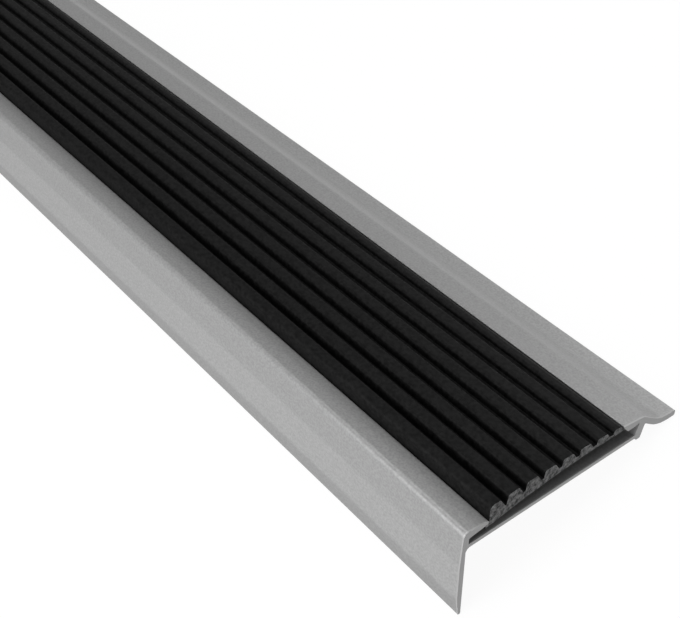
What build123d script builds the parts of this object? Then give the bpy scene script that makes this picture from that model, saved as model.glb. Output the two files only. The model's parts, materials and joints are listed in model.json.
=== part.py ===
"""Stair nosing: an extruded aluminium edge profile with a ribbed soft PVC insert.

The section is drawn as it is fitted: Y runs back over the tread from the front
face, Z = 0 is the underside of the channel floor, and the leg hangs in front of
the riser. The length runs along X. Unheld on a level floor the piece leans back
until its leg and the rear edge of its flange both touch, so both solids are
turned about X by that angle. Origin: centre of the footprint, on the floor.
"""

from build123d import *
from math import asin, atan2, degrees, hypot, radians, tan
import os

# Stock
length = 900.0

# Front leg, over the riser
leg_drop = 16.2             # underside of the channel floor to the tip of the leg
leg_thickness = 1.0
leg_bend_drop = 3.6         # the face kinks this far below the channel floor
leg_lean = 0.4              # the face above the kink leans back by this much
toe_length = 4.1            # the leg thins to its tip over this height
toe_thickness = 0.5
face_bend_radius = 8.0      # at the two kinks of the front face
nose_height = 3.95          # top of the nose above the channel floor's underside
nose_radius = 0.95
root_radius = 1.0           # between the leg's inner face and the floor's underside

# Channel that holds the insert
floor_thickness = 0.8
pocket_front = 1.5          # front end of the pocket under the front lip
pocket_height = 1.35        # clear height of the pocket at its front end
front_lip_end = 5.6
front_lip_fall = 0.55       # the front strip falls towards the insert
front_lip_edge = 0.65       # thickness of the front lip at its edge
rear_lip_height = 4.95      # top of the rear lip above the floor's underside
rear_lip_reach = 4.4        # from the rear wall to the lip's top edge
rear_lip_edge = 1.75        # depth of the undercut end of the rear lip
rear_lip_undercut = 1.45
notch_width = 1.05          # the lip's underside rises towards the wall here
notch_rise = 0.4
rear_wall_thickness = 1.5
rear_wall_lean = 0.75
wall_foot_width = 0.9
wall_foot_height = 0.6      # stands proud of the floor's underside

# Rear flange, from the rear wall down to the tread
flange_reach = 8.25         # behind the rear wall
flange_thickness = 1.2
flange_root_height = 2.35   # where the flange's underside leaves the wall
shoulder_height = 4.15      # top of the flange above the rear wall
shoulder_radius = 2.0
ramp_angle = 37.0           # the flange falls to the tread at this angle
valley_radius = 7.0         # upper side of the sweep from the ramp to the pad
flange_edge_radius = 0.35
edge_radius = 0.2           # small rounds of the die

# Ribbed insert
rib_count = 8
rib_pitch = 4.05
rib_width = 2.25
end_rib_width = 2.1         # the first and the last rib, beside the lips
rib_round = 0.6
first_rib_round = 0.9       # front corner of the first rib
groove_round = 0.15
front_flank_angle = 8.5     # of a rib, from upright
rear_flank_angle = 31.0
rib_height_front = 2.1
rib_height_rear = 0.95
crown_front = 6.5           # heights of the bowed strip above the floor's underside
crown_middle = 6.65
crown_rear = 5.45
belly_middle = 4.05         # underside of the strip, hollow over the channel
tongue_reach = 0.8          # how far the front edge slips under its lip
tongue_thickness = 0.5
rear_edge_thickness = 0.75
insert_gap = 0.1            # clearance between the insert and the lips

# Places that follow from the sizes above
insert_width = (rib_count - 1) * rib_pitch - rib_width + 2 * end_rib_width
insert_front = front_lip_end + insert_gap
insert_rear = insert_front + insert_width
rear_lip_end = insert_rear + insert_gap
rear_wall_top = rear_lip_end + rear_lip_reach
flange_start = rear_wall_top + rear_wall_thickness
depth = flange_start + flange_reach
tread = -wall_foot_height
front_lip_top = nose_height - front_lip_fall
front_lip_under = front_lip_top - front_lip_edge


def along(start, end, share):
    """Value a share of the way from start to end."""
    return start + (end - start) * share


def resting_tilt():
    """Angle of the floor line under the rounds of the leg's tip and the flange's edge."""
    run = (depth - flange_edge_radius) - (leg_thickness - edge_radius)
    rise = (tread + flange_edge_radius) - (edge_radius - leg_drop)
    centres = hypot(run, rise)
    return degrees(atan2(rise, run) - asin((flange_edge_radius - edge_radius) / centres))


def profile_section():
    """Section of the aluminium profile, drawn through (y, z, radius) corners in order."""
    hook_bottom = rear_lip_height - rear_lip_edge
    wall_foot = flange_start - rear_wall_lean
    pad_top = tread + flange_thickness
    fall = tan(radians(ramp_angle))
    valley_under = flange_start + (flange_root_height - tread) / fall
    valley_top = valley_under + flange_thickness * tan(radians(ramp_angle / 2))
    shoulder = valley_top - (shoulder_height - pad_top) / fall
    corners = [
        # leg, from its tip up the outer face
        (leg_thickness - toe_thickness, -leg_drop, edge_radius / 2),
        (0, toe_length - leg_drop, face_bend_radius),
        (0, -leg_bend_drop, face_bend_radius),
        (leg_lean, nose_height, nose_radius),
        # front lip and the pocket under it
        (front_lip_end, front_lip_top, edge_radius),
        (front_lip_end, front_lip_under, edge_radius),
        (pocket_front, floor_thickness + pocket_height, edge_radius),
        (pocket_front, floor_thickness, edge_radius),
        # channel floor, rear wall and the undercut rear lip
        (rear_wall_top - rear_wall_lean, floor_thickness, edge_radius),
        (rear_wall_top, hook_bottom + notch_rise, edge_radius),
        (rear_wall_top - notch_width, hook_bottom, edge_radius),
        (rear_lip_end + rear_lip_undercut, hook_bottom, edge_radius),
        (rear_lip_end, rear_lip_height, edge_radius),
        # flange: shoulder, ramp and the pad that meets the tread
        (shoulder, shoulder_height, shoulder_radius),
        (valley_top, pad_top, valley_radius),
        (depth, pad_top, flange_edge_radius),
        (depth, tread, flange_edge_radius),
        (valley_under, tread, valley_radius + flange_thickness),
        (flange_start, flange_root_height, edge_radius),
        # foot of the rear wall, underside of the floor, inner face of the leg
        (wall_foot, tread, edge_radius),
        (wall_foot - wall_foot_width, tread, edge_radius),
        (wall_foot - wall_foot_width - wall_foot_height, 0, edge_radius),
        (leg_thickness, 0, root_radius),
        (leg_thickness, -leg_drop, edge_radius),
    ]
    with BuildSketch(Plane.YZ) as section:
        with BuildLine():
            FilletPolyline(
                *[(y, z) for y, z, _ in corners],
                radius=[radius for _, _, radius in corners],
                close=True,
            )
        make_face()
    return section.sketch


def crown(y):
    """Height of the bowed upper face of the insert at y."""
    share = (y - insert_front) / insert_width
    bow = crown_middle - (crown_front + crown_rear) / 2
    return along(crown_front, crown_rear, share) + 4 * bow * share * (1 - share)


def insert_section():
    """Section of the insert: ribs along the top, an arched belly, an edge under each lip."""
    lip_slope = (front_lip_under - floor_thickness - pocket_height) / (front_lip_end - pocket_front)
    tongue_top = front_lip_under - insert_gap
    tongue_tip = tongue_top - tongue_reach * lip_slope
    rear_slip = rear_edge_thickness * rear_lip_undercut / rear_lip_edge
    top = [
        (insert_front - tongue_reach, tongue_tip - tongue_thickness, 0),
        (insert_front - tongue_reach, tongue_tip, groove_round),
        (insert_front, tongue_top, 0),
        (insert_front, crown(insert_front), first_rib_round),
    ]
    for groove in range(rib_count - 1):
        height = along(rib_height_front, rib_height_rear, (groove + 0.5) / (rib_count - 1))
        rear = insert_front + end_rib_width + groove * rib_pitch
        front = rear + rib_pitch - rib_width
        top += [
            (rear, crown(rear), rib_round),
            (rear + height * tan(radians(rear_flank_angle)), crown(rear) - height, groove_round),
            (front - height * tan(radians(front_flank_angle)), crown(front) - height, groove_round),
            (front, crown(front), rib_round),
        ]
    top.append((insert_rear - rib_round, crown(insert_rear), rib_round))
    top.append((insert_rear, rear_lip_height, 0))
    top.append((insert_rear + rear_slip, rear_lip_height - rear_edge_thickness, 0))
    middle = insert_front + insert_width / 2
    with BuildSketch(Plane.YZ) as section:
        with BuildLine():
            FilletPolyline(
                *[(y, z) for y, z, _ in top],
                radius=[radius for _, _, radius in top[1:-1]],
            )
            ThreePointArc(top[-1][:2], (middle, belly_middle), top[0][:2])
        make_face()
    return section.sketch


tilt = resting_tilt()


def lay_down(section):
    """Extrude a section over the length and turn it to the way the piece rests."""
    bar = extrude(section, length).move(Location((-length / 2, 0, 0)))
    return Rot(X=-tilt) * bar


profile = lay_down(profile_section())
insert = lay_down(insert_section())

box = (profile + insert).bounding_box()
to_origin = Location((0, -(box.min.Y + box.max.Y) / 2, -box.min.Z))
profile = to_origin * profile
insert = to_origin * insert

os.makedirs("parts", exist_ok=True)
export_step(profile, "parts/aluminium_profile.step")
export_step(insert, "parts/ribbed_insert.step")

print(f"depth as fitted {depth:.2f}, tilt {tilt:.2f} degrees")
print(f"origin in the fitted frame moved by y {to_origin.position.Y:.3f} z {to_origin.position.Z:.3f}")
for name, shape in (("aluminium_profile", profile), ("ribbed_insert", insert)):
    size = shape.bounding_box().size
    print(f"{name}: {size.X:.1f} x {size.Y:.2f} x {size.Z:.2f} mm, {shape.volume:.0f} mm3")
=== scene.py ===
# %% [markdown]
# # A stair nosing in aluminium and ribbed PVC
#
# The real object is two lengths of extruded stock. The aluminium profile wraps
# the edge of a step: a leg in front of the riser, a channel on the tread and a
# flange behind it. A strip of black, ribbed PVC is clipped into the channel for
# grip. Both pieces come ready made from the CAD frame, where their sections are
# true to size, so this lesson is about light, camera and finish.

import json
from math import pi, radians

import bmesh
import bpy
from mathutils import Matrix, Vector


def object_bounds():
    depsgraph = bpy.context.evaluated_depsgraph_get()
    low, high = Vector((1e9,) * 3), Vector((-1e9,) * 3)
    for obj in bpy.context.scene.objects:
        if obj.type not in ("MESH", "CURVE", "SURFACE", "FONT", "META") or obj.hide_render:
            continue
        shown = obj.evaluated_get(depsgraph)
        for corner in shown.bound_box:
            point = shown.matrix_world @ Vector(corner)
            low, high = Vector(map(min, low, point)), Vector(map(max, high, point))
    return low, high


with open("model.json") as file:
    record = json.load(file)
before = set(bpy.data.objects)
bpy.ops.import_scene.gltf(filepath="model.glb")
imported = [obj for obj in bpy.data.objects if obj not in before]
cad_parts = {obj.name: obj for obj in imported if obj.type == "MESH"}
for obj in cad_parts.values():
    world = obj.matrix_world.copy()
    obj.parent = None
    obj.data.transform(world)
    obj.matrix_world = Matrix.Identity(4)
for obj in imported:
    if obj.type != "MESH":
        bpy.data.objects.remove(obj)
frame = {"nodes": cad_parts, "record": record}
cad_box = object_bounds()
mm = 0.001
near_end = cad_box[1].x
print("CAD box in mm:", [tuple(round(v / mm, 2) for v in corner) for corner in cad_box])

# %% [markdown]
# ## The frame of the step
#
# The piece lies on a level floor, leaning back on the tip of its leg and the
# rear edge of its flange, while the photograph shows it level, as on a step.
# The two faces that meet the step know which way it leans: the one on the
# riser looks backwards and the one on the tread looks down. A matrix made of
# these two directions, placed in the corner where the faces meet, lets the
# camera be placed as the photographer stood, with plain angles. Working the
# lean out again from the sizes would also do, but the faces are the truth.

# %% A matrix for the corner of the step
mounts = {mount["name"]: mount for mount in frame["record"]["mounts"]}
back = Vector(mounts["riser_face"]["axis"])
up = -Vector(mounts["tread_face"]["axis"])
corner = (
    back * back.dot(Vector(mounts["riser_face"]["pos_m"]))
    + up * up.dot(Vector(mounts["tread_face"]["pos_m"]))
)
step_axes = Matrix((Vector((1, 0, 0)), back, up)).transposed()
step = Matrix.Translation(corner) @ step_axes.to_4x4()
print("corner of the step in mm:", tuple(round(v / mm, 2) for v in corner))

# %% [markdown]
# ## The camera
#
# A product photograph like this one is taken from close by, so the far end
# shrinks quickly. Its straight edges run to one vanishing point, which fixes
# the heading, the downward pitch and the focal length together. The image is
# 680 by 618 pixels and uncropped, so the lens needs no shift.

# %% Place the camera
image_width = 680
focal_pixels = 1253.85
heading = 52.22
pitch_down = 39.70
roll = -0.37
camera_place = Vector((near_end + 88.06 * mm, -92.8 * mm, 153.9 * mm))

camera = bpy.data.objects.new("camera", bpy.data.cameras.new("camera"))
camera.data.sensor_width = 36
camera.data.lens = focal_pixels / image_width * camera.data.sensor_width
camera.data.clip_start = 10 * mm
camera.matrix_world = (
    step
    @ Matrix.Translation(camera_place)
    @ Matrix.Rotation(radians(heading), 4, "Z")
    @ Matrix.Rotation(pi / 2 - radians(pitch_down), 4, "X")
    @ Matrix.Rotation(radians(roll), 4, "Z")
)
bpy.context.scene.collection.objects.link(camera)
bpy.context.scene.camera = camera
bpy.context.scene.view_settings.view_transform = "Standard"
print(f"lens {camera.data.lens:.1f} mm")

# %% [markdown]
# ## Two helpers
#
# Colours are chosen as sRGB hex values, which is how paint charts and pictures
# give them, while the shader counts in linear light, so one function turns
# one into the other. A second function adds a node, sets it and links it,
# which keeps each material down to a readable list.
#
# Most sockets are picked by name. The Mix node has a set of sockets for each
# kind of data, all with the same names, so its sockets get names of their own
# here.

# %% Colour and node helpers
mix_share, first_number, second_number, first_colour, second_colour = 0, 2, 3, 6, 7
mixed_number, mixed_colour = 0, 2


def colour(code):
    """Linear RGBA of an sRGB hex value such as '#c0c0c0', by the sRGB curve."""
    shares = [int(code[i:i + 2], 16) / 255 for i in (1, 3, 5)]
    linear = [s / 12.92 if s <= 0.04045 else ((s + 0.055) / 1.055) ** 2.4 for s in shares]
    return (*linear, 1)


def node(tree, kind, inputs=(), **settings):
    """Add a shader node; an input that is given a socket is linked, any other is set."""
    made = tree.nodes.new("ShaderNode" + kind)
    for name, value in settings.items():
        setattr(made, name, value)
    for name, value in dict(inputs).items():
        if isinstance(value, bpy.types.NodeSocket):
            tree.links.new(value, made.inputs[name])
        else:
            made.inputs[name].default_value = value
    return made


def new_material(name):
    """An empty node material and its tree."""
    material = bpy.data.materials.new(name)
    material.use_nodes = True
    material.node_tree.nodes.clear()
    return material, material.node_tree

# %% [markdown]
# ## The floor
#
# The piece was shown on pure white, with hardly a shadow. A floor that is only
# white paint would need more light than the object can take, so most of its
# white is a glow that shows to the camera and in reflections alone. The metal
# then mirrors a white floor, while the glow sheds no light on the object. What
# is left of the paint still catches the soft shadow under the piece.
#
# One function tells the rays apart, for the floor here and for the walls of
# the studio below: those that light the object, those that metal or glass
# mirrors, and those that come straight from the camera.

# %% Build the floor
floor_size = 30
floor_grey = "#4b4b4b"
white = "#ffffff"


def strength_by_ray(tree, as_light, in_metal, by_camera):
    """Strength of a white: as light on the object, in its reflections and to the camera."""
    path = node(tree, "LightPath")
    mirrored = node(tree, "Math", {
        0: path.outputs["Is Glossy Ray"],
        1: path.outputs["Is Transmission Ray"],
    }, operation="MAXIMUM")
    on_object = node(tree, "Mix", {
        mix_share: mirrored.outputs[0],
        first_number: as_light,
        second_number: in_metal,
    }, data_type="FLOAT")
    return node(tree, "Mix", {
        mix_share: path.outputs["Is Camera Ray"],
        first_number: on_object.outputs[mixed_number],
        second_number: by_camera,
    }, data_type="FLOAT").outputs[mixed_number]


def glowing_paper(in_metal, by_camera):
    """White floor: a grey paint that takes the shadow, and a glow on top of it."""
    material, tree = new_material("glowing_paper")
    strength = strength_by_ray(tree, 0.0, in_metal, by_camera)
    glow = node(tree, "Emission", {"Color": colour(white), "Strength": strength})
    paint = node(tree, "BsdfDiffuse", {"Color": colour(floor_grey)})
    both = node(tree, "AddShader", {0: paint.outputs[0], 1: glow.outputs[0]})
    node(tree, "OutputMaterial", {"Surface": both.outputs[0]})
    return material


floor = bpy.data.objects.new("floor", bpy.data.meshes.new("floor"))
sheet = bmesh.new()
bmesh.ops.create_grid(sheet, x_segments=1, y_segments=1, size=floor_size / 2)
sheet.to_mesh(floor.data)
sheet.free()
floor.data.materials.append(glowing_paper(in_metal=0.91, by_camera=0.94))
bpy.context.scene.collection.objects.link(floor)
print("floor", floor_size, "m square")

# %% [markdown]
# ## The light
#
# The world is an even grey that stands for the walls of a studio. It sheds a
# little light, the metal mirrors it as a paler grey than that, though darker
# than the floor, and the camera sees it white where it looks past the floor.
#
# Two large softboxes stand over a metre away: the key in front, which lights
# the leg, the nose and the front flanks of the ribs, and one overhead for the
# upper faces. Two small ones stand close to the near end, in front and behind,
# so that their light falls off along the length. None of them is centred beyond
# the near end, so little light gets into the open channel, which stays dark.
# Together they give about the light in which a grey looks as it is written, so
# the plastic and the metal keep their own colours.

# %% Light it
def studio_world(as_light, in_metal, by_camera):
    """Even walls all round."""
    world = bpy.data.worlds.new("studio")
    world.use_nodes = True
    tree = world.node_tree
    tree.nodes.clear()
    strength = strength_by_ray(tree, as_light, in_metal, by_camera)
    light = node(tree, "Background", {"Color": colour(white), "Strength": strength})
    node(tree, "OutputWorld", {"Surface": light.outputs[0]})
    return world


def softbox(name, away, size, watts):
    """Square lamp aimed at the near end; `away` is its place from there, along the step's axes."""
    lamp = bpy.data.objects.new(name, bpy.data.lights.new(name, "AREA"))
    lamp.data.size = size
    lamp.data.energy = watts
    aim = step @ Vector((near_end, 0, 0))
    lamp.location = step @ (Vector((near_end, 0, 0)) + Vector(away))
    lamp.rotation_mode = "QUATERNION"
    lamp.rotation_quaternion = (aim - lamp.location).to_track_quat("-Z", "Y")
    lamp.visible_camera = False
    bpy.context.scene.collection.objects.link(lamp)
    print(name, "stands", round((lamp.location - aim).length, 2), "m from the near end")


bpy.context.scene.world = studio_world(as_light=0.15, in_metal=0.38, by_camera=1.0)
softbox("key_softbox", away=(-0.20, -1.00, 0.60), size=0.6, watts=3.8)
softbox("top_softbox", away=(-0.20, 0.10, 1.20), size=0.6, watts=5.4)
softbox("low_front_softbox", away=(0.0, -0.35, 0.05), size=0.3, watts=1.0)
softbox("low_rear_softbox", away=(0.0, 0.35, 0.25), size=0.3, watts=0.41)

# %% [markdown]
# ## Extruded aluminium
#
# The profile is extruded aluminium with a fine satin surface. The die leaves
# lines that run unbroken along the length and are only some tenths of a
# millimetre apart, so the finish is drawn by noise that is stretched along X.
# The lines change the roughness and a very shallow bump. Between them the etched
# skin scatters light unevenly, so a round noise varies the brightness of the
# tint by up to a tenth. Real etching is finer than a tenth of a millimetre and
# would not show, so its patches are drawn coarser.
#
# The leg below its bend and the flat of the flange are painted a touch brighter
# than the rest, as painted light, and the thinned toe a touch darker, as painted
# shade near the floor. Each band is picked by how far a point lies along one of
# the step's own directions. The sawn ends are fresh, bright metal with the arcs
# of the blade's teeth on them, painted lighter still for light that the lamps
# keep off them, and a thin painted highlight runs along their edges.
#
# A noise keeps close to its middle value, so a Map Range node stretches the
# part of it that matters. The narrower that part, the harder the patches look.

# %% What the finishes share
soft_noise = {"From Min": 0.30, "From Max": 0.70}
crisp_noise = {"From Min": 0.35, "From Max": 0.65}
sharp_noise = {"From Min": 0.38, "From Max": 0.62}
sawn_depth = 0.02 * mm  # so thin that it takes the end faces alone


def position_on_piece(tree):
    """Object coordinates, in metres from the middle of the length."""
    return node(tree, "TexCoord").outputs["Object"]


def end_mask(tree, position, width):
    """1 within a width of the two sawn ends and 0 elsewhere."""
    parts = node(tree, "SeparateXYZ", {"Vector": position})
    reach = node(tree, "Math", {0: parts.outputs["X"]}, operation="ABSOLUTE")
    beyond = node(tree, "Math", {0: reach.outputs[0], 1: near_end - width},
                  operation="GREATER_THAN")
    return beyond.outputs[0]

# %% Make the aluminium
die_line_spacing = 0.35 * mm
die_line_length = 90 * mm
satin_grain = 0.12 * mm
etched_patch = 0.4 * mm
# width of the painted highlight along the edges of the sawn ends
edge_highlight_width = 0.3 * mm
band_blend_width = 1 * mm
# painted light and shade: the leg below its bend and the flange flat painted brighter, the toe
# painted darker
painted_light_bands = (  # direction, distance from the corner of the step, tint
    (-up, 3.6 * mm, "#a8a8a8"),
    (-up, 12.1 * mm, "#999999"),
    (back, 45.6 * mm, "#a8a8a8"),
)

blade_radius = 125 * mm
blade_centre = Vector((0, -0.30 * blade_radius, 0.95 * blade_radius))
tooth_spacing = 0.5 * mm
wave_factor = 20  # the wave texture multiplies its coordinates by this


def saw_arcs(tree, position):
    """Arcs that a round blade leaves across a sawn end, as a value from 0 to 1."""
    centred = node(tree, "Mapping", {"Vector": position, "Location": -blade_centre})
    return node(tree, "TexWave", {
        "Vector": centred.outputs[0],
        "Scale": 2 * pi / (wave_factor * tooth_spacing),
        "Distortion": 0.6,
        "Detail": 2.0,
        "Detail Scale": 0.02,
    }, wave_type="RINGS", rings_direction="X").outputs["Fac"]


def extruded_aluminium():
    """Satin aluminium with die lines along X, sawn ends and painted bands of light and shade."""
    material, tree = new_material("extruded_aluminium")
    position = position_on_piece(tree)
    cut = end_mask(tree, position, sawn_depth)
    edge_highlight = end_mask(tree, position, edge_highlight_width)

    # die lines and grain
    stretched = node(tree, "Mapping", {
        "Vector": position,
        "Scale": (1 / die_line_length, 1 / die_line_spacing, 1 / die_line_spacing),
    })
    lines = node(tree, "TexNoise", {
        "Vector": stretched.outputs[0], "Scale": 1.0, "Detail": 3.0, "Roughness": 0.6,
    }).outputs["Fac"]
    grain = node(tree, "TexNoise", {
        "Vector": position, "Scale": 1 / satin_grain, "Detail": 2.0,
    }).outputs["Fac"]

    # tint: bands of painted light and shade, etched patches, a painted highlight along the sawn
    # edges, and sawn ends that are partly painted light
    skin = colour("#a0a0a0")
    # paint each band of light or shade over the tint
    for direction, distance, shade in painted_light_bands:
        reach = node(tree, "VectorMath", {0: position, 1: tuple(direction)},
                     operation="DOT_PRODUCT")
        place = corner.dot(direction) + distance
        beyond = node(tree, "MapRange", {
            "Value": reach.outputs["Value"],
            "From Min": place - band_blend_width / 2,
            "From Max": place + band_blend_width / 2,
        })
        skin = node(tree, "Mix", {
            mix_share: beyond.outputs[0], first_colour: skin, second_colour: colour(shade),
        }, data_type="RGBA").outputs[mixed_colour]
    patches = node(tree, "TexNoise", {
        "Vector": position, "Scale": 1 / etched_patch, "Detail": 3.0,
    })
    uneven = node(tree, "MapRange", {
        "Value": patches.outputs["Fac"], **crisp_noise, "To Min": 0.89, "To Max": 1.11,
    })
    skin = node(tree, "VectorMath", {0: skin, "Scale": uneven.outputs[0]}, operation="SCALE")
    # painted highlight along the edges of the sawn ends
    highlighted = node(tree, "Mix", {
        mix_share: edge_highlight, first_colour: skin.outputs[0], second_colour: colour("#b2b2b2"),
    }, data_type="RGBA")
    # sawn ends: fresh bright metal, and painted lighter still for light that the lamps keep off
    # these faces
    tint = node(tree, "Mix", {
        mix_share: cut,
        first_colour: highlighted.outputs[mixed_colour],
        second_colour: colour("#bdbdbd"),
    }, data_type="RGBA")

    # gloss and relief
    satin = node(tree, "MapRange", {
        "Value": lines, **soft_noise, "To Min": 0.46, "To Max": 0.54,
    })
    roughness = node(tree, "Mix", {
        mix_share: cut, first_number: satin.outputs[0], second_number: 0.6,
    }, data_type="FLOAT")
    relief = node(tree, "Mix", {
        mix_share: cut, first_number: lines, second_number: saw_arcs(tree, position),
    }, data_type="FLOAT")
    bump = node(tree, "Bump", {
        "Height": relief.outputs[mixed_number], "Distance": 0.01 * mm, "Strength": 0.5,
    })
    bump = node(tree, "Bump", {
        "Height": grain, "Distance": 0.004 * mm, "Strength": 0.5, "Normal": bump.outputs[0],
    })

    metal = node(tree, "BsdfPrincipled", {
        "Base Color": tint.outputs[mixed_colour],
        "Metallic": 0.5,
        "Roughness": roughness.outputs[mixed_number],
        "Normal": bump.outputs[0],
    })
    node(tree, "OutputMaterial", {"Surface": metal.outputs[0]})
    return material

# %% [markdown]
# ## Black ribbed PVC
#
# The insert is soft PVC, also extruded, dyed black all through. Its skin is
# matte with a fine grain and a trace of dust, and the grooves are dark because
# little light gets into them. Real dust and grain are finer than a tenth of a
# millimetre, so both are drawn coarser. Where the strip was cut through, the
# torn surface scatters more light and looks a dusty, uneven grey.

# %% Make the PVC
pvc_grain = 0.25 * mm
dust_patch = 0.7 * mm
torn_patch = 0.9 * mm


def black_pvc():
    """Matte black PVC with a fine grain and greyer cut ends."""
    material, tree = new_material("black_soft_pvc")
    position = position_on_piece(tree)
    cut = end_mask(tree, position, sawn_depth)

    # skin and its dust
    dust = node(tree, "TexNoise", {
        "Vector": position, "Scale": 1 / dust_patch, "Detail": 3.0,
    })
    dusty = node(tree, "MapRange", {"Value": dust.outputs["Fac"], **crisp_noise})
    black = node(tree, "Mix", {
        mix_share: dusty.outputs[0],
        first_colour: colour("#020202"),
        second_colour: colour("#161616"),
    }, data_type="RGBA")

    # torn grey of the cut
    tears = node(tree, "TexNoise", {
        "Vector": position, "Scale": 1 / torn_patch, "Detail": 4.0, "Roughness": 0.65,
    })
    spread = node(tree, "MapRange", {"Value": tears.outputs["Fac"], **sharp_noise})
    torn = node(tree, "Mix", {
        mix_share: spread.outputs[0],
        first_colour: colour("#404040"),
        second_colour: colour("#c4c4c4"),
    }, data_type="RGBA")
    tint = node(tree, "Mix", {
        mix_share: cut,
        first_colour: black.outputs[mixed_colour],
        second_colour: torn.outputs[mixed_colour],
    }, data_type="RGBA")

    # gloss and relief
    grain = node(tree, "TexNoise", {
        "Vector": position, "Scale": 1 / pvc_grain, "Detail": 3.0,
    }).outputs["Fac"]
    matte = node(tree, "MapRange", {
        "Value": grain, **soft_noise, "To Min": 0.52, "To Max": 0.64,
    })
    bump = node(tree, "Bump", {"Height": grain, "Distance": 0.03 * mm, "Strength": 0.6})

    plastic = node(tree, "BsdfPrincipled", {
        "Base Color": tint.outputs[mixed_colour],
        "IOR": 1.53,
        "Specular IOR Level": 0.11,
        "Roughness": matte.outputs[0],
        "Normal": bump.outputs[0],
    })
    node(tree, "OutputMaterial", {"Surface": plastic.outputs[0]})
    return material


# %% Dress the two pieces
finishes = {"aluminium_profile": extruded_aluminium(), "ribbed_insert": black_pvc()}
for name, material in finishes.items():
    piece = frame["nodes"][name]
    piece.data.materials.clear()
    piece.data.materials.append(material)
    print(name, "has", len(piece.data.polygons), "triangles and wears", material.name)
